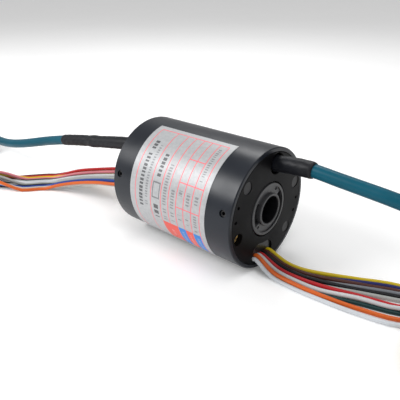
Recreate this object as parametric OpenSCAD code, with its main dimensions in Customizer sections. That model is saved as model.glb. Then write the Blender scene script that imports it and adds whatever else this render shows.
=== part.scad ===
// Through-bore slip ring: twelve power circuits and one Ethernet link.
// X is the bore axis: the stator's lead face looks along +X, the rotor flange along -X, and Z is up.
// The origin lies on the bore axis, halfway along the housing. The slip ring lies on its side
// on the plane z = -housing_d / 2, and its leads lie on that plane too. Sizes are in millimetres.
// Clock angles run from +Y towards +Z, as seen from the +X end.

/* [Housing] */
// Outside diameter of the housing tube
housing_d = 56; // [50:0.1:68]
// Length of the housing tube
housing_l = 72; // [66:0.1:90]
// Wall of the housing tube
housing_wall = 1.8; // [1:0.1:2.4]
// Bevel on the outer edge of both housing rims
rim_bevel = 0.4; // [0.1:0.1:0.8]
// Thickness of the printed label
label_t = 0.12; // [0.05:0.01:0.3]
// Width of the label along the bore axis
label_w = 46.5; // [30:0.5:60]

/* [End caps] */
// Thickness of each end cap
cap_t = 8; // [7:0.1:10]
// Clock angle of the cable outlet, which the rest of the cap is laid out from
outlet_clock = 76.5; // [60:0.5:100]
// Distance of the leads' outlets from the bore axis
outlet_r = 20.7; // [20:0.1:23]
// Diameter of the cable outlet in the front cap
outlet_d = 9.4; // [8.8:0.1:10]
// Width of the wires' outlet slot, across its arc
slot_w = 9.2; // [8:0.1:10]
// Distance of the tie posts from the bore axis
post_r = 22.3; // [21.5:0.1:23.5]
// Diameter of the tie posts
post_d = 4; // [3.4:0.1:4.8]
// Diameter of the counterbores over the tie posts
counterbore_d = 5.6; // [5:0.1:6.2]
// Depth of the counterbores over the tie posts
counterbore_h = 4.4; // [3.5:0.1:5]
// Distance of the small fixing holes from the bore axis
fixing_r = 23.6; // [22.5:0.1:24.2]
// Diameter of the small fixing holes
fixing_d = 1.6; // [1.2:0.1:2]
// Depth of the small fixing holes
fixing_h = 4.5; // [3:0.1:6]
// Diameter of the radial grub screws that hold the caps
grub_d = 3; // [2:0.1:3.4]

/* [Rotor] */
// Diameter of the through bore
bore_d = 12.7; // [10:0.01:15.6]
// Wall of the bore tube
bore_wall = 1.25; // [0.9:0.01:1.5]
// How far the bore tube stands out of the front cap
nose_h = 1.2; // [0.5:0.1:3]
// Outside diameter of the rotor barrel, the bearings' seat
barrel_d = 25; // [24:0.1:27]
// Wall of the rotor barrel
barrel_wall = 1.7; // [1.2:0.1:2]
// Outside diameter of the rear flange
flange_d = 33; // [32.5:0.1:40]
// Length of the rear flange
flange_t = 6; // [5:0.1:10]
// Diameter of the flange's set screws
set_screw_d = 4; // [3:0.1:5]
// Distance of the rotor cable's outlet from the bore axis
rotor_cable_r = 12.1; // [11.8:0.1:12.6]

/* [Rings and brushes] */
// Number of power rings
power_count = 12; // [2:1:14]
// Number of signal rings
signal_count = 8; // [2:1:10]
// Width of a power ring
power_w = 1.8; // [1:0.1:2]
// Width of a signal ring
signal_w = 1.1; // [0.8:0.1:1.4]
// Thickness of the barriers between rings
barrier_t = 0.8; // [0.5:0.1:1]
// Outside diameter of the rings
ring_d = 30.8; // [30:0.1:32]
// Outside diameter of the barriers
barrier_d = 33.6; // [32.4:0.1:34.4]
// Width of a brush strip
brush_w = 0.5; // [0.3:0.1:0.6]
// Thickness of the brush blocks
block_t = 2.4; // [1.6:0.1:3]

/* [Bearings] */
// Outside diameter of the bearings
bearing_d = 32; // [31.4:0.1:33]
// Width of the bearings
bearing_w = 4; // [3.6:0.1:4.4]
// Diameter of the balls
ball_d = 1.9; // [1.4:0.1:2]
// Number of balls in each bearing
ball_count = 18; // [10:1:20]

/* [Leads] */
// Diameter of the single wires
wire_d = 1.9; // [1.6:0.1:2]
// Diameter of the Ethernet cable
cable_d = 5.9; // [5:0.1:6]
// Diameter of the shrink sleeve on the front cable
sleeve_d = 7.3; // [6.6:0.1:7.6]
// Diameter of the shrink sleeve on the rear cable
rear_sleeve_d = 6.6; // [6.4:0.1:6.8]
// Radius of the leads' coils at the middle of their turns
coil_r = 30; // [25:0.5:32]

/* [Hidden] */
$fn = 96;
front_x = housing_l / 2;
floor_z = -housing_d / 2;
fit = 0.02;                          // gap of a seated or pressed fit
run_gap = 0.3;                       // gap between the rotor and the stator
housing_r = housing_d / 2;
cap_r = housing_r - housing_wall - fit;
cap_inner_x = front_x - cap_t;
barrel_r = barrel_d / 2;
barrel_in_r = barrel_r - barrel_wall;
tube_r = bore_d / 2 + bore_wall;
cap_bore_r = barrel_r + run_gap;
rim_r = barrel_r - 0.35;             // the barrel's front rim, turned down inside the cap's bore
rim_x = front_x + 0.3;               // the rim stands just proud of the front cap
web_t = 2;
web_x = front_x - 0.3;               // front face of the web between tube and barrel
flange_x = -front_x - 0.5;           // inner face of the rear flange
rear_x = flange_x - flange_t;
bearing_x = cap_inner_x + 0.5 + bearing_w / 2;
race_t = (bearing_d - barrel_d) / 2 * 0.26;
ball_r = (bearing_d + barrel_d) / 4; // pitch radius of the balls
cable_clock = outlet_clock;
slot_clock = outlet_clock - 174.5;
slot_half = 9;                       // half the angle between the slot's two round ends
post_clocks = [for (k = [1, 2, 4, 5]) outlet_clock + 60 * k];
fixing_clocks = [for (side = [90, -90], k = [-7.7, 7.7]) outlet_clock + side + k];
grub_clocks = [for (k = [0:2]) outlet_clock + 89.5 + 120 * k];
grub_x = front_x - 4.2;
block_clocks = [outlet_clock - 90, outlet_clock + 90];
block_y = post_r * cos(30);          // the brush blocks lie in the plane of their two posts
stack_l = power_count * (power_w + barrier_t) + signal_count * (signal_w + barrier_t) + barrier_t;
ring_step = power_w + barrier_t;
signal_step = signal_w + barrier_t;
power_xs = [for (k = [0:power_count - 1]) stack_l / 2 - barrier_t - power_w / 2 - k * ring_step];
signal_xs = [for (k = [0:signal_count - 1])
    stack_l / 2 - power_count * ring_step - barrier_t - signal_w / 2 - k * signal_step];
stack_end = bearing_x - bearing_w / 2 - 0.1;
ring_in_r = ring_d / 2 - 1.4;
rings = concat([for (x = power_xs) [x, power_w]], [for (x = signal_xs) [x, signal_w]]);
comb_end_r = barrel_r + race_t - 0.1; // the insulator's ends stop against the inner races
brush_y = ring_d / 2 + 0.04;
block_in = brush_y + 2.66;           // inner face of the brush blocks
boss_z = post_r / 2;
bearing_r = bearing_d / 2 + fit;     // the bearing's seat in a cap
race_in_r = bearing_d / 2 - race_t;
seat_x = bearing_x + bearing_w / 2 + fit;
counterbore_x = front_x - counterbore_h;
spigot_r = post_d * 0.375;
tie_thread = 6;                      // how far a tie screw reaches into its post
mouth_x = front_x - 3;               // where the outlets' wide mouths begin
potting_depth = 0.8;                 // how far the front potting lies below the cap's face
grub_in_r = cap_r - 2.6;
grub_out_r = housing_r - 0.8;
nose_x = front_x + nose_h;
rotor_cable_clock = 96.6;
rotor_slot_r = (tube_r + flange_d / 2) / 2 - 0.45;
rotor_slot_w = 5.4;
label_clock = 101.7;                 // where the label's upper edge lies
label_angle = 124;

// Routes of the leads. A bundle has one centre line, and each wire lies beside it, alternate wires
// lying on top of the others where the bundle is narrow. The third value of a bundle's station is
// its height above the plane the leads lie on. Across is to the left of the way the bundle runs.
wire_z = floor_z + wire_d / 2 + 0.05;
front_route = [[35.2, -3, 0], [37.5, -3, 0], [46, -3.6, 0.8], [55, -3.3, 0.1], [66, -0.9, 0],
    [80, 4.5, 0], [95, 9.2, 0], [107, 15, 0], [118.5, 20.5, 0], [130.5, 23.8, 0]];
front_spread = [[1.05, 1.65], [1.2, 1.55], [1.6, 1.1]]; // step across and step up, at stations 2 to 4
front_wires = [
    // name, colour, places [across, up] at stations 5 and 6
    ["yellow", "gold",        [[11.6, 0], [13.6, 0]]],
    ["navy",   "navy",        [[9.5, 0], [11.5, 0]]],
    ["brown",  "saddlebrown", [[7.4, 0.2], [9.4, 0]]],
    ["grey",   "gray",        [[5.4, 0], [7.3, 0]]],
    ["black",  "black",       [[3.3, 0.2], [5.2, 0]]],
    ["ash",    "lightgray",   [[1.3, 0], [2.6, 0]]],
    ["red",    "red",         [[-0.9, 0.1], [-1.6, 0]]],
    ["cream",  "ivory",       [[-3.1, 0], [-3.9, 0]]],
    ["white",  "white",       [[-4.8, 1.7], [-5.1, 1.7]]],
    ["green",  "darkgreen",   [[-6.1, 0], [-6.2, 0]]],
    ["orange", "orangered",   [[-9.5, 0], [-10.1, 0]]],
    ["chalk",  "white",       [[-12.8, 0], [-13.6, 0]]],
];
front_cable_route = [[30, 4.83, 20.13], [34, 4.83, 20.13], [38, 4.85, 20.4], [45, 4.9, 21.1],
    [53.5, 5, 21.3], [65, 5, 20.4], [76, 5, 19.6], [87, 5, 18.7], [100, 6.5, 16.4], [110.5, 11.2, 11.5],
    [120, 16, 5.3], [129, 20.6, -2.4], [138.5, 24, -9], [148.5, 22, -14], [155.5, 18.4, -16.4], [161.5, 12.7, -17.2]];
front_sleeve_end = 17.5;             // how far the sleeve reaches out of the front cap
front_coil_at = [138, -6];

rear_route = [[-42, 0, 0], [-45, 0, 0], [-57, -0.5, 14.6], [-73, -2, 11.6], [-91, -4, 7],
    [-107, -7.5, 2.4], [-120.5, -14, 0], [-130, -25, 0], [-142, -36.2, 0], [-159, -46.5, 0],
    [-181, -55.8, 0], [-205, -65, 0]];
rear_wires = [["brown", "saddlebrown"], ["red", "red"], ["yellow", "gold"], ["pink", "pink"],
    ["green", "darkgreen"], ["white", "white"], ["chalk", "white"], ["ash", "lightgray"],
    ["black", "black"], ["blue", "blue"], ["cream", "ivory"], ["orange", "orangered"]];
rear_spread = [2, 1.4, 0.45];        // step across, step up and tilt, while the bundle hangs in the air
rear_fan = [2.05, 1.5];              // step across where the wires lie side by side, and after it
rear_cable_route = [[-37, -1.4, 12.02], [-42, -1.4, 12.02], [-46, -1.5, 11.9], [-54, -2.4, 10.8],
    [-65, -3, 9], [-80, -3.6, 6.4], [-95, -4, 3.9], [-112, -4.5, 0.5], [-130, -5.5, -3.8], [-146, -7.5, -8],
    [-163, -9, -12.2], [-180, -9.5, -15.2], [-198, -8, -16.8], [-214, -7.1, -17.2]];
rear_sleeve_end = 112;               // how far along X the rear sleeve reaches, from the origin
rear_coil_at = [-216, -37];
coil_step = 2.3;                     // from one column of wires in a coil to the next
coil_w = 2 * coil_step + wire_d + 0.1; // section of a coil: wires below, the cable's turn on top
coil_h = 13.75;
front_coil_rows = [0, 1, 2, 3, 0, 1, 3, 2, 3, 0, 1, 2]; // each wire's row in its column of the coil
row_r = slot_w / 2 - wire_d / 2 - 0.65; // the outer row of wires in the outlet slot

// ---- placing ----

// Turns a [radius, x] profile about the bore axis.
module turned(profile) rotate([0, 90, 0]) rotate_extrude() polygon(profile);

// A plain ring about the bore axis.
module ring(r_in, r_out, x0, x1) turned([[r_in, x0], [r_out, x0], [r_out, x1], [r_in, x1]]);

// A rod parallel to the bore axis, at a clock angle and a distance from it.
module rod(r, x0, x1, clock = 0, at = 0)
    translate([x0, at * cos(clock), at * sin(clock)]) rotate([0, 90, 0]) cylinder(r = r, h = x1 - x0);

// Stands its children on the bore axis at x, with their Z looking outwards at the clock angle.
module radial(x, clock) translate([x, 0, 0]) rotate([clock - 90, 0, 0]) children();

// A sector of a ring, from one clock angle over the angle given.
module sector(r_in, r_out, x0, x1, clock, angle)
    rotate([0, 90, 0]) rotate([0, 0, clock + 90]) rotate_extrude(angle = angle)
        polygon([[r_in, x0], [r_out, x0], [r_out, x1], [r_in, x1]]);

// The outline of a slot that follows an arc round the origin and has round ends.
function arc_outline(at, w, half, n = 12) = let (end = at * [cos(half), sin(half)]) concat(
    [for (k = [-n:n]) (at + w / 2) * [cos(half * k / n), sin(half * k / n)]],
    [for (k = [1:n - 1]) end + w / 2 * [cos(half + 180 * k / n), sin(half + 180 * k / n)]],
    [for (k = [-n:n]) (at - w / 2) * [cos(half * k / n), -sin(half * k / n)]],
    [for (k = [1:n - 1]) [end.x, -end.y] - w / 2 * [cos(half - 180 * k / n), -sin(half - 180 * k / n)]]);

// That slot, round the bore axis at a clock angle.
module arc_slot(at, w, clock, half, x0, x1) rotate([0, 90, 0]) rotate([0, 0, clock + 90])
    translate([0, 0, x0]) linear_extrude(x1 - x0) polygon(arc_outline(at, w, half));

// ---- housing and caps ----

module housing() color("dimgray") difference() {
    turned([[housing_r - housing_wall, -front_x], [housing_r - rim_bevel, -front_x],
        [housing_r, rim_bevel - front_x], [housing_r, front_x - rim_bevel],
        [housing_r - rim_bevel, front_x], [housing_r - housing_wall, front_x]]);
    for (side = [-1, 1], clock = grub_clocks)
        radial(side * grub_x, clock) translate([0, 0, cap_r - 1]) cylinder(d = grub_d + 0.3, h = housing_wall + 3);
}

// The cap's body, with the bearing's seat, a relief over its inner race, and the tie posts' holes.
module cap_body() difference() {
    turned([[bearing_r, cap_inner_x], [cap_r, cap_inner_x], [cap_r, front_x - rim_bevel],
        [cap_r - rim_bevel, front_x], [cap_bore_r, front_x], [cap_bore_r, seat_x + 0.4],
        [race_in_r - 0.2, seat_x + 0.4], [race_in_r - 0.2, seat_x], [bearing_r, seat_x]]);
    for (clock = post_clocks) {
        rod(spigot_r + fit, cap_inner_x - 1, front_x, clock, post_r);
        rod(counterbore_d / 2, counterbore_x, front_x + 1, clock, post_r);
    }
    for (clock = grub_clocks)
        radial(grub_x, clock) translate([0, 0, grub_in_r - 0.2]) cylinder(r = grub_d / 2 + fit, h = 6);
}

module front_end_cap() color([0.16, 0.17, 0.18]) difference() {
    cap_body();
    // cable outlet: a mouth with a broken edge, and a narrower way through behind it
    rod(outlet_d / 2, mouth_x, front_x + 1, cable_clock, outlet_r);
    rod(sleeve_d / 2 + 0.3, cap_inner_x - 1, front_x, cable_clock, outlet_r);
    translate([front_x - 0.3, outlet_r * cos(cable_clock), outlet_r * sin(cable_clock)])
        rotate([0, 90, 0]) cylinder(r1 = outlet_d / 2, r2 = outlet_d / 2 + 0.35, h = 0.35);
    // wires' outlet
    arc_slot(outlet_r, slot_w, slot_clock, slot_half, mouth_x, front_x + 1);
    arc_slot(outlet_r, slot_w - 2, slot_clock, slot_half, cap_inner_x - 1, mouth_x + 1);
    for (clock = fixing_clocks) rod(fixing_d / 2, front_x - fixing_h, front_x + 1, clock, fixing_r);
}

module rear_end_cap() color([0.16, 0.17, 0.18]) mirror([1, 0, 0]) cap_body();

// A socket screw that stands along Z, with its top at 0.
module grub(r, h, socket_r, socket_h) difference() {
    translate([0, 0, -h]) union() {
        cylinder(r1 = r - 0.3, r2 = r, h = 0.3);
        translate([0, 0, 0.3]) cylinder(r = r, h = h - 0.3);
    }
    translate([0, 0, -socket_h]) cylinder(r = socket_r, h = socket_h + 1, $fn = 6);
}

module cap_grub_screws(side) color([0.1, 0.1, 0.1]) for (clock = grub_clocks)
    radial(side * grub_x, clock) translate([0, 0, grub_out_r])
        grub(grub_d / 2, grub_out_r - grub_in_r, grub_d * 0.29, 1.5);
module front_cap_grub_screws() cap_grub_screws(1);
module rear_cap_grub_screws() cap_grub_screws(-1);

// ---- tie posts ----

module tie_posts() color("goldenrod") for (clock = post_clocks) difference() {
    union() {
        rod(post_d / 2, fit - cap_inner_x, cap_inner_x - fit, clock, post_r);
        rod(spigot_r, 0, counterbore_x + 1.8, clock, post_r);
    }
    rod(spigot_r - 0.1, -cap_inner_x, 0.5 - cap_inner_x + tie_thread, clock, post_r);
}

module front_tie_nuts() color("goldenrod") for (clock = post_clocks) difference() {
    rod(counterbore_d / 2 - 0.2, counterbore_x + fit, counterbore_x + 2, clock, post_r);
    rod(spigot_r + fit, counterbore_x - 1, counterbore_x + 3, clock, post_r);
    translate([counterbore_x + 2, post_r * cos(clock), post_r * sin(clock)])
        rotate([clock, 0, 0]) cube([0.8, counterbore_d, 0.6], center = true);
}

module rear_tie_screws() color([0.1, 0.1, 0.1]) for (clock = post_clocks) difference() {
    union() {
        rod(counterbore_d / 2 - 0.2, -counterbore_x - 2.2, -counterbore_x - fit, clock, post_r);
        rod(spigot_r - 0.1 - fit, -counterbore_x - 1, tie_thread - cap_inner_x, clock, post_r);
    }
    translate([-counterbore_x - 2.3, post_r * cos(clock), post_r * sin(clock)])
        rotate([0, 90, 0]) cylinder(r = 1.3, h = 1.3, $fn = 6);
}

module counterbore_plugs() color([0.22, 0.23, 0.24]) for (k = [0, 2, 3])
    rod(counterbore_d / 2 - fit, front_x - 1.8, front_x - 0.3, post_clocks[k], post_r);

// ---- bearings ----

module race_groove(x) rotate([0, 90, 0]) rotate_extrude() translate([ball_r, x]) circle(r = ball_d / 2 + 0.04);

module outer_race(side) color("silver") difference() {
    ring(race_in_r, bearing_r - fit, side * bearing_x - bearing_w / 2, side * bearing_x + bearing_w / 2);
    race_groove(side * bearing_x);
}
module front_outer_race() outer_race(1);
module rear_outer_race() outer_race(-1);

module inner_race(side) color("silver") difference() {
    ring(barrel_r + fit, barrel_r + race_t, side * bearing_x - bearing_w / 2, side * bearing_x + bearing_w / 2);
    race_groove(side * bearing_x);
}
module front_inner_race() inner_race(1);
module rear_inner_race() inner_race(-1);

// The balls, held apart by a cage that turns with them.
module ball_set(side) color("lightsteelblue") union() {
    ring(ball_r - 0.3, ball_r + 0.3, side * bearing_x - 1.2, side * bearing_x + 1.2);
    for (k = [1:ball_count]) translate([side * bearing_x, ball_r * cos(k * 360 / ball_count),
        ball_r * sin(k * 360 / ball_count)]) sphere(d = ball_d - 0.04, $fn = 16);
}
module front_ball_set() ball_set(1);
module rear_ball_set() ball_set(-1);

// ---- brushes ----

// A bar between two tie posts, with a boss round each post. Local Y looks away from the axis.
module brush_block(clock) color("tan") rotate([clock, 0, 0]) difference() {
    rotate([90, 0, 90]) translate([0, 0, fit - cap_inner_x]) linear_extrude(2 * (cap_inner_x - fit))
        difference() {
            union() {
                translate([block_in, -boss_z]) square([block_t, 2 * boss_z]);
                for (side = [-1, 1]) translate([block_y, side * boss_z]) circle(r = post_d / 2 + 1.2);
            }
            for (side = [-1, 1]) translate([block_y, side * boss_z]) circle(r = post_d / 2 + fit);
        }
}
module brush_block_right() brush_block(block_clocks[0]);
module brush_block_left() brush_block(block_clocks[1]);

// One bent strip for each ring: its feet stand on the block, and its flat runs on the ring.
module brushes(clock) color("gold") rotate([clock, 0, 0]) for (x = concat(power_xs, signal_xs))
    translate([x - brush_w / 2, 0, 0]) rotate([90, 0, 90]) linear_extrude(brush_w)
        polygon([[block_in - fit, -3.5], [block_in - fit, -3], [brush_y + 0.3, -1.2],
            [brush_y + 0.3, 1.2], [block_in - fit, 3], [block_in - fit, 3.5], [brush_y, 1.4],
            [brush_y, -1.4]]);
module brushes_right() brushes(block_clocks[0]);
module brushes_left() brushes(block_clocks[1]);

module label() color("whitesmoke") sector(housing_r + 0.01, housing_r + 0.01 + label_t,
    -label_w / 2 - 0.35, label_w / 2 - 0.35, label_clock, label_angle);

// ---- rotor ----

// One turned piece: bore tube, barrel, and a web at each end with windows for the lead wires.
module rotor_sleeve() color([0.2, 0.2, 0.22]) difference() {
    union() {
        turned([[bore_d / 2, rear_x + 0.3], [bore_d / 2 + 0.3, rear_x], [tube_r, rear_x],
            [tube_r, nose_x - 0.3], [tube_r - 0.3, nose_x], [bore_d / 2 + 0.3, nose_x],
            [bore_d / 2, nose_x - 0.3]]);
        turned([[barrel_in_r, flange_x + fit], [barrel_r, flange_x + fit], [barrel_r, seat_x + 0.2],
            [rim_r, seat_x + 0.5], [rim_r, rim_x - 0.2], [rim_r - 0.2, rim_x], [barrel_in_r, rim_x]]);
        difference() {
            ring(tube_r - 0.5, barrel_in_r + 0.5, web_x - web_t, web_x);
            for (clock = [0, 180]) sector(tube_r - 1, barrel_in_r - 0.3, web_x - web_t - 1, web_x + 1, clock - 35, 70);
            rod(0.7, web_x - web_t - 1, web_x + 1, 55, tube_r + 2.2);
            rod(0.7, web_x - web_t - 1, web_x + 1, 224, tube_r + 1.8);
        }
        difference() {
            ring(tube_r - 0.5, barrel_in_r + 0.5, flange_x + fit, flange_x + web_t);
            for (clock = [90, 270]) sector(tube_r - 1, barrel_in_r - 0.3, flange_x - 1, flange_x + web_t + 1, clock - 35, 70);
        }
    }
    for (clock = [0, 180]) radial(flange_x - flange_t / 2, clock) cylinder(d = set_screw_d, h = tube_r + 1);
}

module rotor_flange() color([0.16, 0.17, 0.18]) difference() {
    turned([[tube_r + fit, rear_x], [flange_d / 2 - 0.5, rear_x], [flange_d / 2, rear_x + 0.5],
        [flange_d / 2, flange_x], [tube_r + fit, flange_x]]);
    rod(rear_sleeve_d / 2 + 0.1, rear_x - 1, flange_x + 1, rotor_cable_clock, rotor_cable_r);
    arc_slot(rotor_slot_r, rotor_slot_w, -90, 30, rear_x - 1, flange_x + 1);
    for (clock = [0, 180]) radial(flange_x - flange_t / 2, clock) cylinder(d = set_screw_d, h = flange_d);
}

module flange_set_screws() color([0.1, 0.1, 0.1]) for (clock = [0, 180])
    radial(flange_x - flange_t / 2, clock) translate([0, 0, flange_d / 2 - 0.7])
        grub(set_screw_d / 2 - fit, flange_d / 2 - 0.7 - bore_d / 2 - 0.3, set_screw_d * 0.29, 2);

// The combs between the rings, as one turned piece on the barrel.
module insulator_stack() color("burlywood") turned(concat(
    [[barrel_r + fit, stack_end], [comb_end_r, stack_end], [comb_end_r, stack_end - 0.8],
        [ring_in_r, stack_end - 0.8], [ring_in_r, stack_l / 2], [barrier_d / 2, stack_l / 2]],
    [for (q = rings) each [[barrier_d / 2, q[0] + q[1] / 2], [ring_in_r, q[0] + q[1] / 2],
        [ring_in_r, q[0] - q[1] / 2], [barrier_d / 2, q[0] - q[1] / 2]]],
    [[barrier_d / 2, -stack_l / 2], [ring_in_r, -stack_l / 2], [ring_in_r, 0.8 - stack_end],
        [comb_end_r, 0.8 - stack_end], [comb_end_r, -stack_end], [barrel_r + fit, -stack_end]]));

module power_rings() color("gold") for (x = power_xs)
    ring(ring_in_r + fit, ring_d / 2, x - power_w / 2 + fit, x + power_w / 2 - fit);
module signal_rings() color("gold") for (x = signal_xs)
    ring(ring_in_r + fit, ring_d / 2, x - signal_w / 2 + fit, x + signal_w / 2 - fit);

// ---- leads ----

// A smooth curve through the points, n steps from each to the next, kept at z = low or above.
function smooth(p, n, low) = let (last = len(p) - 1,
    q = concat([2 * p[0] - p[1]], p, [2 * p[last] - p[last - 1]]))
    concat([for (i = [1:last], k = [0:n - 1]) let (t = k / n, a = q[i - 1], b = q[i], c = q[i + 1],
        d = q[i + 2], s = (2 * b + (c - a) * t + (2 * a - 5 * b + 4 * c - d) * t * t
            + (3 * b - a - 3 * c + d) * t * t * t) / 2) [s.x, s.y, max(s.z, low)]], [p[last]]);

function unit(v) = v / norm(v);

// The rings of a tube of radius r round a path that is nowhere upright.
function rings_round(path, r, sides) = [for (i = [0:len(path) - 1])
    let (t = unit(path[min(i + 1, len(path) - 1)] - path[max(i - 1, 0)]),
        right = unit(cross(t, [0, 0, 1])), up = cross(right, t))
    for (k = [0:sides - 1]) let (a = 360 * (k + 0.5) / sides)
        path[i] + r * (right * cos(a) + up * sin(a))];

// The faces between ring i and the next, for rings that start at point b.
function skin(n, sides, b, flip = false) = [for (i = [0:n - 2], k = [0:sides - 1])
    let (p = b + i * sides + k, q = b + i * sides + (k + 1) % sides)
    each flip ? [[p, p + sides, q], [q, p + sides, q + sides]]
              : [[p, q, p + sides], [q, q + sides, p + sides]]];

module tube(path, r, sides) polyhedron(points = rings_round(path, r, sides), faces = concat(
    [[for (k = [sides - 1:-1:0]) k]], skin(len(path), sides, 0),
    [[for (k = [0:sides - 1]) (len(path) - 1) * sides + k]]));

module sleeve(path, r_in, r_out, sides) {
    m = len(path) * sides;
    e = m - sides;
    polyhedron(points = concat(rings_round(path, r_out, sides), rings_round(path, r_in, sides)),
        faces = concat(skin(len(path), sides, 0), skin(len(path), sides, m, true),
            [for (k = [0:sides - 1]) let (j = (k + 1) % sides) each [[j, k, m + k], [j, m + k, m + j]]],
            [for (k = [0:sides - 1]) let (j = (k + 1) % sides) each [[e + k, e + j, m + e + j], [e + k, m + e + j, m + e + k]]]));
}

function on_clock(x, r, clock) = [x, r * cos(clock), r * sin(clock)];
function left(route, k) = let (t = route[min(k + 1, len(route) - 1)] - route[max(k - 1, 0)])
    unit([-t.y, t.x, 0]);
function beside(route, k, place) = [route[k].x, route[k].y, wire_z] + left(route, k) * place[0] + [0, 0, place[1]];
function coil_place(i) = [(1 - floor(i / 4)) * coil_step, front_coil_rows[i] * 1.95];
function halfway(a, b) = [(a[0] + b[0]) / 2, b[1]];

// Front wire i: out of the slot, apart over the plane, then together into its place in the coil.
function front_place(i, k) = let (s = front_wires[i][2])
    k < 5 ? [(5.5 - i) * front_spread[k - 2][0], front_route[k].z + (1 - i % 2) * front_spread[k - 2][1]]
    : k < 7 ? s[k - 5]
    : k == 7 ? halfway(s[1], coil_place(i)) : coil_place(i);
function front_path(i) = [for (k = [0:len(front_route) - 1]) k < 2
    ? on_clock(front_route[k].x, outlet_r + row_r - (1 - i % 2) * 1.7, slot_clock + (5.5 - i) * 0.98 / 22 * 180 / PI)
    : beside(front_route, k, front_place(i, k))];

// Rear wire i: out of the flange, down through the air, side by side over the plane, then as above.
function rear_coil_place(i) = [(floor(i / 4) - 1) * coil_step, (i % 4) * 1.95];
function rear_place(i, k) = let (h = rear_route[k].z, c = rear_coil_place(i))
    k < 6 ? [(i - 5.5) * rear_spread[0], h + (i % 2) * rear_spread[1] + max(0, 5.5 - i) * rear_spread[2]]
    : k < 8 ? [(i - 5.5) * rear_fan[0], h]
    : k == 8 ? [(i - 5.5) * rear_fan[1], c[1]]
    : k == 9 ? halfway([(i - 5.5) * rear_fan[1], 0], c) : c;
function rear_path(i) = [for (k = [0:len(rear_route) - 1]) k < 2
    ? on_clock(rear_route[k].x, 10.7 + (1 - i % 2) * 1.75, -90 + (5.5 - i) * 1.03 / 10.7 * 180 / PI)
    : beside(rear_route, k, rear_place(i, k))];

module front_wire(i) color(front_wires[i][1]) tube(smooth(front_path(i), 3, wire_z), wire_d / 2, 8);
module rear_wire(i) color(rear_wires[i][1]) tube(smooth(rear_path(i), 2, wire_z), wire_d / 2, 8);

module front_ethernet_cable() color("teal") tube(smooth(front_cable_route, 2, floor_z), cable_d / 2, 12);
module rear_ethernet_cable() color("teal") tube(smooth(rear_cable_route, 2, floor_z), cable_d / 2, 12);

// The stretch of a cable's curve that its sleeve covers.
function part_of(path, from, to) = [for (p = path) if (abs(p.x) >= from - 0.01 && abs(p.x) <= to + 0.01) p];
module front_cable_sleeve() color([0.18, 0.18, 0.2]) sleeve(
    part_of(smooth(front_cable_route, 2, floor_z), mouth_x + 0.5, front_x + front_sleeve_end),
    cable_d / 2 + 0.15, sleeve_d / 2, 12);
module rear_cable_sleeve() color([0.18, 0.18, 0.2]) sleeve(
    part_of(smooth(rear_cable_route, 2, floor_z), -flange_x + 1, rear_sleeve_end),
    cable_d / 2 + 0.15, rear_sleeve_d / 2, 12);

module front_cable_gland() color([0.12, 0.12, 0.12]) difference() {
    rod(sleeve_d / 2 + 0.3 - fit, cap_inner_x + 0.5, mouth_x, cable_clock, outlet_r);
    rod(cable_d / 2 + 0.05, cap_inner_x - 1, mouth_x + 1, cable_clock, outlet_r);
}

module front_wire_potting() color([0.25, 0.25, 0.27])
    arc_slot(outlet_r, slot_w - 2 * fit, slot_clock, slot_half, mouth_x + fit, front_x - potting_depth - fit);
module rear_wire_potting() color([0.25, 0.25, 0.27])
    arc_slot(rotor_slot_r, rotor_slot_w - 2 * fit, -90, 30, rear_x + 0.5 + fit, flange_x - 0.5);

// The outer shape of a coil: a stack of wires below, and one turn of the cable on top.
module coil(at) translate([at[0], at[1], floor_z]) rotate_extrude() translate([coil_r, 0])
    polygon([[-coil_w / 2, 0], [coil_w / 2, 0], [coil_w / 2, coil_h - cable_d], [3, coil_h - cable_d],
        [3, coil_h - 0.8], [2.2, coil_h], [-2.2, coil_h], [-3, coil_h - 0.8], [-3, coil_h - cable_d],
        [-coil_w / 2, coil_h - cable_d]]);
module front_coil() color("teal") coil(front_coil_at);
module rear_coil() color("teal") coil(rear_coil_at);

housing();
front_end_cap();
rear_end_cap();
front_cap_grub_screws();
rear_cap_grub_screws();
tie_posts();
front_tie_nuts();
rear_tie_screws();
counterbore_plugs();
front_outer_race();
rear_outer_race();
brush_block_right();
brush_block_left();
brushes_right();
brushes_left();
label();
rotor_sleeve();
rotor_flange();
flange_set_screws();
insulator_stack();
power_rings();
signal_rings();
front_inner_race();
rear_inner_race();
front_ball_set();
rear_ball_set();
front_wire_potting();
rear_wire_potting();
front_cable_gland();
front_cable_sleeve();
rear_cable_sleeve();
front_ethernet_cable();
rear_ethernet_cable();
front_coil();
rear_coil();
for (i = [0:len(front_wires) - 1])
    front_wire(i);
for (i = [0:len(rear_wires) - 1])
    rear_wire(i);
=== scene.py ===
"""The look of a through-bore slip ring lying on its side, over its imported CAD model.

The bore runs along X, with the stator's lead face towards +X, and Z is up. Routes and sizes of the
leads are written in millimetres, as the CAD model has them, and mm() turns them into metres.
"""
import math

import bmesh
import bpy
from mathutils import Matrix, Vector


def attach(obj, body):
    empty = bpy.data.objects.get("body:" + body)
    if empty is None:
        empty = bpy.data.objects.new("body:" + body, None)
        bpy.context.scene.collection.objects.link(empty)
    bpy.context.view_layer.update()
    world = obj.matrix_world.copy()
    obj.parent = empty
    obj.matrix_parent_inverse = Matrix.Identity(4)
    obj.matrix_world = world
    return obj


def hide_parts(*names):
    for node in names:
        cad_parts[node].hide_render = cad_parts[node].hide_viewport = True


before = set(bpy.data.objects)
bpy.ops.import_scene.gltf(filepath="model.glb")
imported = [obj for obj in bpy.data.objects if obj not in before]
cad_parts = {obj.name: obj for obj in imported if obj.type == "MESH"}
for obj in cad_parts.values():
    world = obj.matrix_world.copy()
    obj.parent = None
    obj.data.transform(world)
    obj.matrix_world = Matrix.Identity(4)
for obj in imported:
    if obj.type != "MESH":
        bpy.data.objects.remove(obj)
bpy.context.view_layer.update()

# ---- sizes, in millimetres ----

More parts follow.
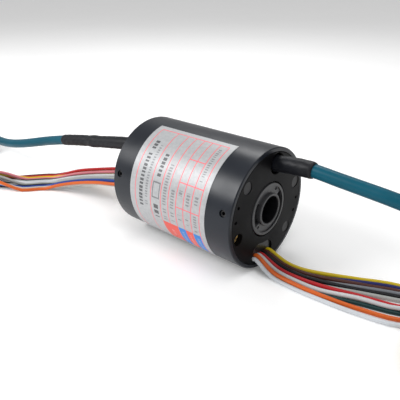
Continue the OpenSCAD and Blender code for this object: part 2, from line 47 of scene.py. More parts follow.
FLOOR = -28.0
HOUSING_R = 28.0
BORE_R = 6.35
WIRE_D = 1.9
CABLE_D = 5.9
SLEEVE_D = 7.3
REAR_SLEEVE_D = 6.6
LEAD = 300.0           # real length of every lead
COIL_R = 30.0
COIL_STEP = 12         # degrees between a coil's points
STEP_IN = (288, 48)    # where a coil's second turn starts to move inwards, and over how many degrees
FRONT_WIRE_TURN, FRONT_CABLE_TURN = -430, -300    # degrees that a route goes round its coil
REAR_WIRE_TURN, REAR_CABLE_TURN = -330, 300
FRONT_COIL = (138.0, -6.0)
REAR_COIL = (-216.0, -37.0)
WIRE_Z = FLOOR + WIRE_D / 2 + 0.05
CABLE_COIL_Z = FLOOR + 10.8    # the cable's turn lies on four layers of wire
LANE, LAYER = 2.3, 1.95
MIDDLE = 5.5           # the twelve wires are numbered 0 to 11 across a bundle
FRONT_EXIT = (23.7, 1.7, -98, 0.98, 22)      # outer row, step to the inner row, clock, pitch, at radius
REAR_EXIT = (10.7, 1.75, -90, 1.03, 10.7)    # inner row, step to the outer row, clock, pitch, at radius
SLEEVE_STEP = 0.35     # distance between the rings of a sleeve's mesh


def mm(*v):
    return [x / 1000 for x in v]


# ---- node materials ----


class Node:
    """A value in a shader, with arithmetic that builds math nodes."""

    def __init__(self, tree, socket):
        self.tree, self.socket = tree, socket

    def op(self, kind, *others):
        n = self.tree.nodes.new("ShaderNodeMath")
        n.operation = kind
        for i, v in enumerate((self, *others)):
            if isinstance(v, Node):
                self.tree.links.new(v.socket, n.inputs[i])
            else:
                n.inputs[i].default_value = v
        return Node(self.tree, n.outputs[0])

    def __add__(self, o):
        return self.op("ADD", o)

    def __mul__(self, o):
        return self.op("MULTIPLY", o)

    def __gt__(self, o):
        return self.op("GREATER_THAN", o)

    def __lt__(self, o):
        return self.op("LESS_THAN", o)

    def most(self, o):
        return self.op("MAXIMUM", o)

    def near(self, centre, half):
        """1 within half of centre, else 0."""
        return self.op("COMPARE", centre, half)

    def between(self, a, b):
        return self.near((a + b) / 2, abs(b - a) / 2)


class Material:
    """A Principled material with the pieces that most of the others share."""

    def __init__(self, name, colour, rough, metal=0.0, specular=0.5):
        self.mat = bpy.data.materials.new(name)
        self.mat.use_nodes = True
        self.tree = self.mat.node_tree
        self.bsdf = self.tree.nodes["Principled BSDF"]
        self.colour = (*colour, 1)
        for key, value in (("Base Color", self.colour), ("Roughness", rough), ("Metallic", metal),
                           ("Specular IOR Level", specular)):
            self.bsdf.inputs[key].default_value = value
        self.mat.diffuse_color = self.colour

    def coords(self):
        return self.tree.nodes.new("ShaderNodeTexCoord").outputs["Object"]

    def xyz(self):
        n = self.tree.nodes.new("ShaderNodeSeparateXYZ")
        self.tree.links.new(self.coords(), n.inputs[0])
        return [Node(self.tree, s) for s in n.outputs]

    def noise(self, scale, detail=2.0, stretch=(1, 1, 1)):
        m = self.tree.nodes.new("ShaderNodeMapping")
        m.inputs["Scale"].default_value = stretch
        self.tree.links.new(self.coords(), m.inputs[0])
        n = self.tree.nodes.new("ShaderNodeTexNoise")
        n.inputs["Scale"].default_value = scale
        n.inputs["Detail"].default_value = detail
        self.tree.links.new(m.outputs[0], n.inputs["Vector"])
        return Node(self.tree, n.outputs["Fac"])

    def ramp(self, value, low, high, a=0.0, b=1.0):
        n = self.tree.nodes.new("ShaderNodeMapRange")
        for i, v in enumerate((low, high, a, b)):
            n.inputs[i + 1].default_value = v
        self.tree.links.new(value.socket, n.inputs[0])
        return Node(self.tree, n.outputs[0])

    def mix(self, fac, a, b):
        """Colour a where fac is 0 and b where it is 1. A colour is three numbers or a socket."""
        n = self.tree.nodes.new("ShaderNodeMix")
        n.data_type = "RGBA"
        ins = [s for s in n.inputs if s.enabled]
        self.tree.links.new(fac.socket, ins[0])
        for socket, c in zip(ins[1:], (a, b)):
            if isinstance(c, bpy.types.NodeSocket):
                self.tree.links.new(c, socket)
            else:
                socket.default_value = (*c[:3], 1)
        return next(s for s in n.outputs if s.enabled)

    def paint(self, socket):
        self.tree.links.new(socket, self.bsdf.inputs["Base Color"])

    def set(self, key, value):
        self.tree.links.new(value.socket, self.bsdf.inputs[key])

    def bump(self, height, distance, strength=1.0):
        """distance is how tall a height of 1 is, in metres."""
        n = self.tree.nodes.new("ShaderNodeBump")
        n.inputs["Distance"].default_value = distance
        n.inputs["Strength"].default_value = strength
        self.tree.links.new(height.socket, n.inputs["Height"])
        previous = self.bsdf.inputs["Normal"].links
        if previous:
            self.tree.links.new(previous[0].from_socket, n.inputs["Normal"])
        self.tree.links.new(n.outputs[0], self.bsdf.inputs["Normal"])

    def worn(self, amount=0.12, scale=60.0):
        """Slow mottling of the colour, as handled or moulded surfaces have."""
        c = self.colour
        dark = [x * (1 - amount) for x in c[:3]]
        light = [min(1, x * (1 + amount)) for x in c[:3]]
        self.paint(self.mix(self.ramp(self.noise(scale, 3), 0.3, 0.7), dark, light))


def anodised(name, colour, rough, specular=0.5, turned=0.0):
    """Blasted and anodised aluminium: fine grain, slow changes of sheen, and faint turning lines."""
    m = Material(name, colour, rough, specular=specular)
    m.worn(0.1, 45)
    m.set("Roughness", m.ramp(m.noise(90, 3), 0.3, 0.7, rough - 0.05, rough + 0.06))
    m.bump(m.noise(2600, 2), 0.00001, 0.5)
    if turned:
        x = m.xyz()[0]
        m.bump((x * 9000.0).op("SINE"), 0.000003, turned)
    return m.mat


def rotor_anodising_with_painted_bore_shade():
    """The rotor's anodising, with painted shade in the bore: inside the bore radius the colour is near
    black, standing in for the shade deep in the bore.
    """
    m = Material("rotor_anodised_bore_shade", (0.034, 0.034, 0.037), 0.38, specular=0.5)
    _, y, z = m.xyz()
    # painted shade: the near black colour (0.004, 0.004, 0.005) is put inside the bore radius, where
    # the bore lies in shade
    bore = (y * y + z * z).op("SQRT") < (BORE_R + 0.05) / 1000
    mottled = m.mix(m.ramp(m.noise(45, 3), 0.3, 0.7), (0.031, 0.031, 0.034), (0.037, 0.037, 0.040))
    m.paint(m.mix(bore, mottled, (0.004, 0.004, 0.005)))
    m.set("Roughness", m.ramp(m.noise(90, 3), 0.3, 0.7, 0.33, 0.44))
    m.bump(m.noise(2600, 2), 0.00001, 0.5)
    return m.mat


def metal(name, colour, rough):
    m = Material(name, colour, rough, metal=1.0)
    m.worn(0.08, 120)
    m.set("Roughness", m.ramp(m.noise(400, 2), 0.3, 0.7, rough - 0.06, rough + 0.08))
    m.bump(m.noise(1500, 2), 0.000006, 0.4)
    return m.mat


def plastic(name, colour, rough=0.38, grain=900.0, depth=0.000012, mottle=0.06, specular=0.5):
    m = Material(name, colour, rough, specular=specular)
    m.worn(mottle, 70)
    m.set("Roughness", m.ramp(m.noise(200, 2), 0.3, 0.7, rough - 0.04, rough + 0.06))
    m.bump(m.noise(grain, 2), depth, 0.5)
    return m.mat


def label_film():
    """Silvered film with a ruled table, coloured cells and rows of plain strokes. No lettering."""
    m = Material("label_film", (0.72, 0.73, 0.74), 0.42, metal=0.15)
    x, y, z = m.xyz()
    across = x * 1000.0                                         # mm along the bore axis
    down = (y * -1.0).op("ARCTAN2", z) * (180 / math.pi)        # degrees from the top of the housing
    top, cells_at, end = 17.0, 107.8, 134.0

    def field(x0, x1, d0, d1):
        return across.between(x0, x1) * down.between(d0, d1)

    def union(masks):
        out = masks[0]
        for k in masks[1:]:
            out = out.most(k)
        return out

    half = 0.24                                                 # half a ruled line, mm
    half_deg = half / HOUSING_R * 180 / math.pi
    columns = [(-20.1, end), (-9.75, end), (-3.25, cells_at), (1.5, cells_at), (6.25, cells_at),
               (10.65, cells_at), (15.25, cells_at), (20.0, end)]
    rules = [field(c - half, c + half, top, to) for c, to in columns]
    rules.append(field(-20.1, 20.0, top - half_deg, top + half_deg))
    for x0, x1, d in ((6.25, 15.25, 40.8), (6.25, 20.0, 63.2), (6.25, 20.0, 86.2)):
        rules.append(field(x0, x1, d - half_deg, d + half_deg))

    def strokes(centre, height, d0, d1, pitch, duty, seed):
        """A row of short strokes of uneven width that stands where a printed line would. centre,
        height and pitch are in mm, d0 and d1 in degrees, and duty is the share that is inked."""
        s = down * (math.pi / 180 * HOUSING_R / pitch)
        cell = s.op("FLOOR")
        rnd = (cell + seed).op("MULTIPLY", 12.9898).op("SINE").op("MULTIPLY", 43758.5).op("FRACT")
        on = s.op("FRACT") < (rnd * 0.35 + (duty - 0.17))
        return field(centre - height / 2, centre + height / 2, d0, d1) * on * (rnd > 0.12)

    bold = union([strokes(*row) for row in (
        (-16.2, 2.3, 32, 99, 1.75, 0.62, 1), (-6.4, 2.2, 42, 66, 1.9, 0.66, 5),
        (-6.4, 2.9, 92, 106, 3.2, 0.55, 9))])
    fine = union([strokes(*row) for row in (
        (-12.6, 1.5, 36, 98, 1.25, 0.5, 2), (-0.9, 2.0, 50, 105, 1.3, 0.5, 3),
        (3.9, 2.0, 72, 104, 1.35, 0.5, 4), (8.4, 1.9, 70, 75, 1.4, 0.55, 6),
        (8.4, 2.0, 93, 99, 1.4, 0.55, 7), (12.9, 1.9, 70, 82, 1.4, 0.55, 8),
        (12.9, 1.9, 93, 101, 1.4, 0.55, 10), (17.6, 1.9, 70, 78, 1.5, 0.55, 11),
        (17.6, 1.7, 88, 105, 1.2, 0.6, 12), (17.2, 1.6, 22, 58, 1.1, 0.45, 13))])
    frame_box = field(-8.9, -4.1, 70, 86) * (field(-8.3, -4.7, 71.5, 84.5) * -1.0 + 1.0)
    red = union([field(-3.25, 6.25, cells_at, end), field(10.9, 15.25, cells_at, end)])
    blue = union([field(6.4, 10.9, cells_at, end), field(15.4, 20.0, cells_at, end)])
    cell_text = union([strokes(*row) for row in (
        (1.5, 1.6, 113, 129, 1.5, 0.5, 21), (8.6, 1.3, 112, 128, 1.2, 0.5, 22),
        (13.0, 1.3, 112, 128, 1.2, 0.5, 23), (17.7, 1.3, 112, 128, 1.2, 0.5, 24))])
    speck = m.ramp(m.noise(700, 2), 0.3, 0.7)
    c = m.mix(speck, (0.37, 0.378, 0.39), (0.435, 0.442, 0.45))
    c = m.mix(red, c, (0.74, 0.085, 0.06))
    c = m.mix(blue, c, (0.012, 0.20, 0.60))
    c = m.mix(cell_text * 0.35, c, (0.75, 0.6, 0.6))
    c = m.mix(union(rules) * 0.9, c, (0.80, 0.12, 0.15))
    c = m.mix(fine * 0.55, c, (0.09, 0.09, 0.1))
    c = m.mix(bold * 0.85, c, (0.035, 0.035, 0.04))
    c = m.mix(frame_box * 0.7, c, (0.1, 0.1, 0.11))
    m.paint(c)
    m.bump(m.noise(500, 2), 0.000008, 0.4)
    return m.mat


def heat_shrink(name):
    """Shrunk polyolefin tube: matte, with fine lengthwise creases."""
    m = Material(name, (0.0048, 0.0056, 0.0085), 0.46, specular=0.26)
    m.worn(0.2, 80)
    m.bump(m.noise(260, 3, (0.35, 1.6, 1.6)), 0.00008, 0.5)
    m.bump(m.noise(2400, 2), 0.000008, 0.4)
    return m.mat


def cable_jacket():
    m = Material("cable_jacket", (0.001, 0.078, 0.120), 0.38, specular=0.18)
    m.worn(0.1, 60)
    m.set("Roughness", m.ramp(m.noise(150, 3), 0.3, 0.7, 0.3, 0.44))
    m.bump(m.noise(160, 2, (0.3, 1, 1)), 0.00003, 0.35)
    m.bump(m.noise(1800, 2), 0.000008, 0.4)
    return m.mat


WIRE_COLOURS = {
    "yellow": (0.64, 0.47, 0.008), "navy": (0.008, 0.013, 0.12), "brown": (0.075, 0.020, 0.013),
    "grey": (0.17, 0.18, 0.20), "black": (0.004, 0.004, 0.006), "ash": (0.34, 0.35, 0.335),
    "red": (0.45, 0.011, 0.015), "cream": (0.50, 0.46, 0.41), "white": (0.52, 0.53, 0.54),
    "green": (0.006, 0.035, 0.036), "orange": (0.60, 0.11, 0.014), "chalk": (0.57, 0.59, 0.62),
    "pink": (0.62, 0.19, 0.22), "blue": (0.010, 0.045, 0.27),
}
FRONT_WIRES = ["yellow", "navy", "brown", "grey", "black", "ash", "red", "cream", "white", "green",
               "orange", "chalk"]
REAR_WIRES = ["brown", "red", "yellow", "pink", "green", "white", "chalk", "ash", "black", "blue",
              "cream", "orange"]

# ---- routes of the leads, as in the CAD model ----

FRONT_ROUTE = [(35.2, -3, 0), (37.5, -3, 0), (46, -3.6, 0.8), (55, -3.3, 0.1), (66, -0.9, 0),
               (80, 4.5, 0), (95, 9.2, 0), (107, 15, 0), (118.5, 20.5, 0), (130.5, 23.8, 0)]
FRONT_ROWS = [0, 1, 2, 3, 0, 1, 3, 2, 3, 0, 1, 2]      # each wire's row in its column of the coil
FRONT_SPREAD = [(1.05, 1.65), (1.2, 1.55), (1.6, 1.1)]
FRONT_PLACES = [  # [across, up] of each wire at stations 5 and 6
    ((11.6, 0), (13.6, 0)), ((9.5, 0), (11.5, 0)), ((7.4, 0.2), (9.4, 0)), ((5.4, 0), (7.3, 0)),
    ((3.3, 0.2), (5.2, 0)), ((1.3, 0), (2.6, 0)), ((-0.9, 0.1), (-1.6, 0)), ((-3.1, 0), (-3.9, 0)),
    ((-4.8, 1.7), (-5.1, 1.7)), ((-6.1, 0), (-6.2, 0)), ((-9.5, 0), (-10.1, 0)),
    ((-12.8, 0), (-13.6, 0))]
FRONT_CABLE = [(30, 4.83, 20.13), (34, 4.83, 20.13), (38, 4.85, 20.4), (45, 4.9, 21.1),
               (53.5, 5, 21.3), (65, 5, 20.4), (76, 5, 19.6), (87, 5, 18.7), (100, 6.5, 16.4),
               (110.5, 11.2, 11.5), (120, 16, 5.3), (129, 20.6, -2.4), (138.5, 24, -9),
               (148.5, 22, -14), (155.5, 18.4, -16.4), (161.5, 12.7, -17.2)]
REAR_ROUTE = [(-42, 0, 0), (-45, 0, 0), (-57, -0.5, 14.6), (-73, -2, 11.6), (-91, -4, 7),
              (-107, -7.5, 2.4), (-120.5, -14, 0), (-130, -25, 0), (-142, -36.2, 0),
              (-159, -46.5, 0), (-181, -55.8, 0), (-205, -65, 0)]
REAR_SPREAD = (2, 1.4, 0.45)
REAR_FAN = (2.05, 1.5)
REAR_CABLE = [(-37, -1.4, 12.02), (-42, -1.4, 12.02), (-46, -1.5, 11.9), (-54, -2.4, 10.8),
              (-65, -3, 9), (-80, -3.6, 6.4), (-95, -4, 3.9), (-112, -4.5, 0.5),
              (-130, -5.5, -3.8), (-146, -7.5, -8), (-163, -9, -12.2), (-180, -9.5, -15.2),
              (-198, -8, -16.8), (-214, -7.1, -17.2)]


def smooth(points, steps, low=FLOOR):
    """A Catmull-Rom curve through the points, kept at z = low or above."""
    p = [Vector(q) for q in points]
    q = [2 * p[0] - p[1], *p, 2 * p[-1] - p[-2]]
    out = []
    for i in range(1, len(p)):
        a, b, c, d = q[i - 1:i + 3]
        for k in range(steps):
            t = k / steps
            v = (2 * b + (c - a) * t + (2 * a - 5 * b + 4 * c - d) * t * t
                 + (3 * b - a - 3 * c + d) * t ** 3) / 2
            out.append(Vector((v.x, v.y, max(v.z, low))))
    return out + [p[-1]]


def cut(path, length):
    """The first part of a path, length long."""
    out = [path[0]]
    for a, b in zip(path, path[1:]):
        step = (b - a).length
        if step >= length:
            return out + [a.lerp(b, length / step)]
        out.append(b)
        length -= step
    return out


def on_clock(x, r, clock):
    a = math.radians(clock)
    return Vector((x, r * math.cos(a), r * math.sin(a)))


def beside(route, k, across, up):
    """A wire's place beside its bundle's centre line, across being to the left of the way it runs."""
    a, b = route[max(k - 1, 0)], route[min(k + 1, len(route) - 1)]
    left = Vector((a[1] - b[1], b[0] - a[0], 0)).normalized()
    return Vector((route[k][0], route[k][1], WIRE_Z + up)) + left * across


def turns(centre, radius, z, start, angle, tail=0.0):
    """Points round a coil, clockwise from above where angle is negative. A lead that goes round more
    than once moves inwards by tail before it comes round to where it came in."""
    out = []
    steps = int(abs(angle) / COIL_STEP)
    for k in range(1, steps + 1):
        turned = abs(angle) * k / steps
        f = min(1, max(0, (turned - STEP_IN[0]) / STEP_IN[1]))
        r = radius - tail * f * f * (3 - 2 * f)
        a = math.radians(start + math.copysign(turned, angle))
        out.append(Vector((centre[0] + r * math.cos(a), centre[1] + r * math.sin(a), z)))
    return out


def front_wire_path(i):
    coil = ((1 - i // 4) * LANE, FRONT_ROWS[i] * LAYER)
    out = []
    for k, (x, _, h) in enumerate(FRONT_ROUTE):
        if k < 2:
            r, row, clock, pitch, at = FRONT_EXIT
            turn = math.degrees((MIDDLE - i) * pitch / at)
            out.append(on_clock(x, r - (1 - i % 2) * row, clock + turn))
            continue
        if k < 5:
            step, rise = FRONT_SPREAD[k - 2]
            across, up = (MIDDLE - i) * step, h + (1 - i % 2) * rise
        elif k < 7:
            across, up = FRONT_PLACES[i][k - 5]
        elif k == 7:
            across, up = (FRONT_PLACES[i][1][0] + coil[0]) / 2, coil[1]
        else:
            across, up = coil
        out.append(beside(FRONT_ROUTE, k, across, up))
    start = math.degrees(math.atan2(out[-1].y - FRONT_COIL[1], out[-1].x - FRONT_COIL[0]))
    out += turns(FRONT_COIL, COIL_R + coil[0], WIRE_Z + coil[1], start, FRONT_WIRE_TURN, 3 * LANE)
    return cut(smooth(out, 4, WIRE_Z), LEAD)


def rear_wire_path(i):
    coil = ((i // 4 - 1) * LANE, i % 4 * LAYER)
    out = []
    for k, (x, _, h) in enumerate(REAR_ROUTE):
        if k < 2:
            r, row, clock, pitch, at = REAR_EXIT
            turn = math.degrees((MIDDLE - i) * pitch / at)
            out.append(on_clock(x, r + (1 - i % 2) * row, clock + turn))
            continue
        if k < 6:
            across = (i - MIDDLE) * REAR_SPREAD[0]
            up = h + (i % 2) * REAR_SPREAD[1] + max(0, MIDDLE - i) * REAR_SPREAD[2]
        elif k < 8:
            across, up = (i - MIDDLE) * REAR_FAN[0], h
        elif k == 8:
            across, up = (i - MIDDLE) * REAR_FAN[1], coil[1]
        elif k == 9:
            across, up = ((i - MIDDLE) * REAR_FAN[1] + coil[0]) / 2, coil[1]
        else:
            across, up = coil
        out.append(beside(REAR_ROUTE, k, across, up))
    start = math.degrees(math.atan2(out[-1].y - REAR_COIL[1], out[-1].x - REAR_COIL[0]))
    out += turns(REAR_COIL, COIL_R + coil[0], WIRE_Z + coil[1], start, REAR_WIRE_TURN)
    return cut(smooth(out, 4, WIRE_Z), LEAD)


def cable_path(route, coil, angle):
    start = math.degrees(math.atan2(route[-1][1] - coil[1], route[-1][0] - coil[0]))
    points = [Vector(p) for p in route] + turns(coil, COIL_R, CABLE_COIL_Z, start, angle)
    return cut(smooth(points, 4), LEAD)


# ---- building pieces ----


def add(name, data, material):
    o = bpy.data.objects.new(name, data)
    bpy.context.scene.collection.objects.link(o)
    data.materials.append(material)
    return o


def mesh_of(bm, name, smooth=True):
    """Ends a bmesh as a mesh whose faces all look outwards."""
    bmesh.ops.recalc_face_normals(bm, faces=bm.faces)
    me = bpy.data.meshes.new(name)
    bm.to_mesh(me)
    bm.free()
    for f in me.polygons:
        f.use_smooth = smooth
    return me


def cord_curve(name, path, diameter, material):
    """A round lead along a path in millimetres."""
    c = bpy.data.curves.new(name, "CURVE")
    c.dimensions = "3D"
    c.bevel_depth = diameter / 2000
    c.bevel_resolution = 4
    c.use_fill_caps = True
    s = c.splines.new("POLY")
    s.points.add(len(path) - 1)
    for p, v in zip(s.points, path):
        p.co = (*mm(*v), 1)
    s.use_smooth = True
    return add(name, c, material)


def frames(path):
    """A point, a right-hand and an upper direction for each point of a path that is nowhere upright."""
    for i, p in enumerate(path):
        t = (path[min(i + 1, len(path) - 1)] - path[max(i - 1, 0)]).normalized()
        right = t.cross(Vector((0, 0, 1))).normalized()
        yield p, right, right.cross(t)


def swept(name, path, radii, material, sides, wobble):
    """A tube whose radius changes along its path, from radii[0] to radii[-1], open at both ends."""
    bm = bmesh.new()
    rows = []
    for i, ((p, right, up), r) in enumerate(zip(frames(path), radii)):
        row = []
        for k in range(sides):
            a = 2 * math.pi * k / sides
            rr = r + wobble(i, a)
            row.append(bm.verts.new(mm(*(p + rr * (right * math.cos(a) + up * math.sin(a))))))
        rows.append(row)
    for a, b in zip(rows, rows[1:]):
        for k in range(sides):
            j = (k + 1) % sides
            bm.faces.new((a[k], a[j], b[j], b[k]))
    return add(name, mesh_of(bm, name), material)


def along(path, x0, x1, step):
    """Points of a path between two values of |x|, evenly spaced."""
    fine = [p for p in smooth(path, 40) if x0 <= abs(p.x) <= x1]
    out, gone = [fine[0]], 0.0
    for a, b in zip(fine, fine[1:]):
        gone += (b - a).length
        if gone >= step:
            out.append(b)
            gone = 0.0
    return out


def shrink_sleeve(name, route, x0, x1, outer, body, material, bulges=()):
    """Shrunk sleeve over a cable: round lips at both ends, soft waves, and bulges at given places."""
    path = along(route, x0, x1, SLEEVE_STEP)
    inner = CABLE_D / 2 + 0.12
    n = len(path)
    radii = []
    for i, p in enumerate(path):
        e = min(i, n - 1 - i) * SLEEVE_STEP        # distance to the nearer end
        lip = outer - 0.28 * max(0, 1 - e / 0.9) ** 2
        for centre, width, height in bulges:
            lip += height * math.exp(-((abs(p.x) - centre) / width) ** 2)
        radii.append(lip)

    def wobble(i, a):
        s = i * SLEEVE_STEP
        return (0.05 * math.sin(3 * a + s * 0.45) * math.sin(s * 0.8 + a)
                + 0.03 * math.sin(5 * a - s * 1.7))

    path = [path[0], *path, path[-1]]
    radii = [inner, *radii, inner]
    o = swept(name, path, radii, material, 48, lambda i, a: wobble(i, a) if 0 < i < n + 1 else 0)
    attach(o, body)
    return o


def tie(name, coil, angle, body, material):
    """A flat strap round a coil's bundle, with its locking head on the outside."""
    bm = bmesh.new()
    a = math.radians(angle)
    out = Vector((math.cos(a), math.sin(a), 0))
    run = Vector((-math.sin(a), math.cos(a), 0))
    centre = Vector((coil[0], coil[1], 0)) + out * COIL_R
    half_w, low, high, corner = 3.6, FLOOR + 0.35, FLOOR + 14.1, 0.45
    outline = [(-half_w, low), (half_w, low), (half_w, high - 2.4), (2.2, high - 0.3), (0, high),
               (-2.2, high - 0.3), (-half_w, high - 2.4)]
    loop = []
    for i, p in enumerate(outline):       # rounded corners
        before, after = Vector(outline[i - 1]), Vector(outline[(i + 1) % len(outline)])
        p = Vector(p)
        q0, q1 = p + (before - p).normalized() * corner, p + (after - p).normalized() * corner
        for k in range(4):
            t = k / 3
            loop.append(q0.lerp(p, t).lerp(p.lerp(q1, t), t))
    n = len(loop)
    rows = []
    for i, p in enumerate(loop):
        t = (loop[(i + 1) % n] - loop[i - 1]).normalized()
        normal = Vector((t.y, -t.x))
        corners = []
        for away, along_run in ((-0.3, -1.15), (-0.3, 1.15), (0.22, 1.25), (0.3, 0.9), (0.3, -0.9),
                                (0.22, -1.25)):
            q = p + normal * away
            v = centre + out * q.x + Vector((0, 0, max(q.y, FLOOR + 0.02))) + run * along_run
            corners.append(bm.verts.new(mm(*v)))
        rows.append(corners)
    for i in range(n):
        this, following = rows[i], rows[(i + 1) % n]
        for k in range(6):
            j = (k + 1) % 6
            bm.faces.new((this[k], this[j], following[j], following[k]))
    head = bmesh.ops.create_cube(bm, size=1)["verts"]
    head_at = centre + out * (half_w + 0.6) + Vector((0, 0, FLOOR + 4.2))
    head_size = Matrix.Diagonal((*mm(2.2, 4.2, 3.6), 1))
    bmesh.ops.transform(bm, verts=head, matrix=Matrix.Translation(Vector(mm(*head_at)))
                        @ Matrix.Rotation(a, 4, "Z") @ head_size)
    edges = {e for v in head for e in v.link_edges}
    bmesh.ops.bevel(bm, geom=list(edges), offset=0.0004, segments=2, affect="EDGES")
    o = add(name, mesh_of(bm, name, smooth=False), material)
    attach(o, body)
    return o


def strands(name, at, way, count, radius, spread, length, body, material):
    """Bare strands that stand out of a cut end: a stripped conductor, or a cable's cores."""
    bm = bmesh.new()
    sides, rings, overlap, flare = 10, 5, 0.6, 0.45
    way = way.normalized()
    right = way.cross(Vector((0, 0, 1))).normalized()
    up = right.cross(way)
    for k in range(count):
        a = 2 * math.pi * k / count
        off = (right * math.cos(a) + up * math.sin(a)) * spread
        rows = []
        for j in range(rings):
            t = j / (rings - 1)
            p = at + way * (length * t - overlap) + off * (1 + flare * t)
            rows.append([bm.verts.new(mm(*(p + radius * (right * math.cos(b) + up * math.sin(b)))))
                         for b in (2 * math.pi * i / sides for i in range(sides))])
        for r0, r1 in zip(rows, rows[1:]):
            for i in range(sides):
                j = (i + 1) % sides
                bm.faces.new((r0[i], r0[j], r1[j], r1[i]))
        bm.faces.new(rows[-1])
        bm.faces.new(rows[0][::-1])
    o = add(name, mesh_of(bm, name), material)
    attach(o, body)
    return o


# ---- camera ----


def camera():
    """Looks down on the lead face from the right, close to, as the photograph does."""
    cam = bpy.data.cameras.new("camera")
    o = bpy.data.objects.new("camera", cam)
    bpy.context.scene.collection.objects.link(o)
    azimuth, elevation = math.radians(41.461), math.radians(25.582)
    distance, left, down = 0.23155, 0.00315, 0.00626
    back = Vector((math.sin(azimuth) * math.cos(elevation), -math.cos(azimuth) * math.cos(elevation),
                   math.sin(elevation)))
    right = Vector((math.cos(azimuth), math.sin(azimuth), 0))
    up = back.cross(right)
    o.rotation_mode = "QUATERNION"
    o.rotation_quaternion = Matrix((right, up, back)).transposed().to_quaternion()
    o.location = back * distance - right * left - up * down
    cam.sensor_width = 36
    cam.lens = 42.82
    cam.clip_start, cam.clip_end = 0.01, 20
    bpy.context.scene.camera = o


camera()

# ---- leads ----

tinned = metal("tinned_copper", (0.62, 0.6, 0.56), 0.35)
strap = plastic("tie_nylon", (0.012, 0.012, 0.013), 0.42)
jacket = cable_jacket()
shrink = heat_shrink("heat_shrink")
wire_materials = {n: plastic("wire_" + n, c, 0.36, 700, 0.00001, 0.08, specular=0.3)
                  for n, c in WIRE_COLOURS.items()}


def lay_wires(side, names, path_of, body):
    for i, colour in enumerate(names):
        path = path_of(i)
        name = f"{side}_lead_{colour}"
        wire = cord_curve(name, path, WIRE_D, wire_materials[colour])
        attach(wire, body)
        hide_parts(f"{side}_wire_{colour}", f"{side}_coil")
        tip = strands(name + "_tip", path[-1], path[-1] - path[-2], 1, 0.55, 0, 5.0, body, tinned)
        mm(*path[0])


def lay_cable(side, route, coil, angle, body):
    path = cable_path(route, coil, angle)
    name = f"{side}_ethernet_lead"
    cable = cord_curve(name, path, CABLE_D, jacket)
    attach(cable, body)
    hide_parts(f"{side}_ethernet_cable", f"{side}_coil")
    cores = strands(name + "_cores", path[-1], path[-1] - path[-2], 8, 0.48, 1.6, 7.0, body,
                    wire_materials["white"])
    mm(*path[0])


front_sleeve = shrink_sleeve("front_shrink_sleeve", FRONT_CABLE, 33.5, 53.5, SLEEVE_D / 2, "stator",
                             shrink, [(46, 5, 0.05)])
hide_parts("front_cable_sleeve")
rear_sleeve = shrink_sleeve("rear_shrink_sleeve", REAR_CABLE, 37.5, 112, REAR_SLEEVE_D / 2, "rotor",
                            shrink, [(82, 3, 0.3), (60, 12, 0.2), (88, 2, -0.15)])
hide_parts("rear_cable_sleeve")

front_ties = [tie(f"front_coil_tie_{k}", FRONT_COIL, a, "stator", strap)
              for k, a in enumerate((-30, -125))]
rear_ties = [tie(f"rear_coil_tie_{k}", REAR_COIL, a, "rotor", strap)
             for k, a in enumerate((130, 225))]

lay_wires("front", FRONT_WIRES, front_wire_path, "stator")
lay_wires("rear", REAR_WIRES, rear_wire_path, "rotor")
lay_cable("front", FRONT_CABLE, FRONT_COIL, FRONT_CABLE_TURN, "stator")
lay_cable("rear", REAR_CABLE, REAR_COIL, REAR_CABLE_TURN, "rotor")

# ---- CAD nodes' materials ----

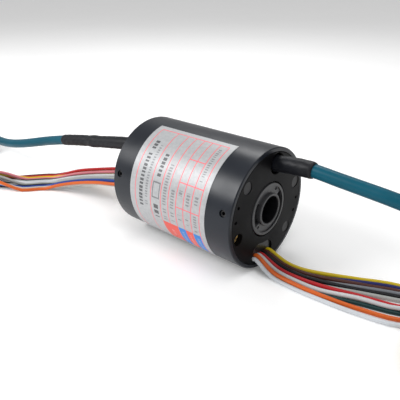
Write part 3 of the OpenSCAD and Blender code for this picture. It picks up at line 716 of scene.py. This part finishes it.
black_steel = metal("black_steel", (0.05, 0.05, 0.052), 0.42)
gold = metal("gold_plate", (0.83, 0.6, 0.24), 0.28)
brass = metal("brass", (0.85, 0.58, 0.27), 0.45)
steel = metal("ground_steel", (0.56, 0.56, 0.57), 0.28)
cap_black = anodised("cap_anodised", (0.0035, 0.0035, 0.0042), 0.42, 0.07)
potting = plastic("potting", (0.008, 0.008, 0.009), 0.3, 300, 0.00006)
FINISH = {
    "housing": anodised("housing_anodised", (0.007, 0.0098, 0.016), 0.34, 0.33, turned=0.3),
    "front_end_cap": cap_black, "rear_end_cap": cap_black, "rotor_flange": cap_black,
    "rotor_sleeve": rotor_anodising_with_painted_bore_shade(),
    "front_cap_grub_screws": black_steel, "rear_cap_grub_screws": black_steel,
    "rear_tie_screws": black_steel, "flange_set_screws": black_steel,
    "tie_posts": brass, "front_tie_nuts": metal("brass_nut", (0.95, 0.68, 0.30), 0.62),
    "brushes_right": gold, "brushes_left": gold, "power_rings": gold, "signal_rings": gold,
    "front_outer_race": steel, "rear_outer_race": steel, "front_inner_race": steel,
    "rear_inner_race": steel, "front_ball_set": steel, "rear_ball_set": steel,
    "brush_block_right": plastic("brush_block", (0.4, 0.28, 0.14), 0.45),
    "brush_block_left": plastic("brush_block_2", (0.4, 0.28, 0.14), 0.45),
    "insulator_stack": plastic("insulator", (0.35, 0.24, 0.12), 0.4),
    "label": label_film(),
    "counterbore_plugs": plastic("plug", (0.020, 0.020, 0.022), 0.55, 600, 0.00003),
    "front_wire_potting": potting, "rear_wire_potting": potting,
    "front_cable_gland": plastic("gland_rubber", (0.01, 0.01, 0.011), 0.6),
}
for node, material in FINISH.items():
    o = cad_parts[node]
    o.data.materials.clear()
    o.data.materials.append(material)

# ---- stage and light ----


def stage():
    me = bpy.data.meshes.new("floor")
    s = 3.0                                   # half its width, metres
    me.from_pydata([(-s, -s, 0), (s, -s, 0), (s, s, 0), (-s, s, 0)], [], [(0, 1, 2, 3)])
    floor = bpy.data.objects.new("floor", me)
    floor.location.z = FLOOR / 1000
    bpy.context.scene.collection.objects.link(floor)
    m = Material("floor", (0.97, 0.97, 0.97), 0.9, specular=0.1)
    m.worn(0.01, 8)
    m.bsdf.inputs["Emission Color"].default_value = (1, 1, 1, 1)
    m.bsdf.inputs["Emission Strength"].default_value = 0.1
    me.materials.append(m.mat)
    world = bpy.data.worlds.new("world")
    world.use_nodes = True
    background = world.node_tree.nodes["Background"].inputs
    background["Color"].default_value = (1, 1, 1, 1)
    background["Strength"].default_value = 0.5
    bpy.context.scene.world = world
    for name, place, size, power in (("key", (-0.42, -0.5, 0.45), 0.35, 4.0),
                                     ("rim", (-0.3, 0.4, 0.6), 0.3, 1.6),
                                     ("fill", (0.3, -0.2, 0.9), 0.5, 2.0)):
        light = bpy.data.lights.new(name, "AREA")
        light.shape, light.size, light.energy = "SQUARE", size, power
        o = bpy.data.objects.new(name, light)
        o.location = place
        o.rotation_mode = "QUATERNION"
        o.rotation_quaternion = Vector(place).to_track_quat("Z", "Y")
        bpy.context.scene.collection.objects.link(o)


stage()
scene = bpy.context.scene
scene.view_settings.view_transform = "Standard"
scene.view_settings.look = "None"
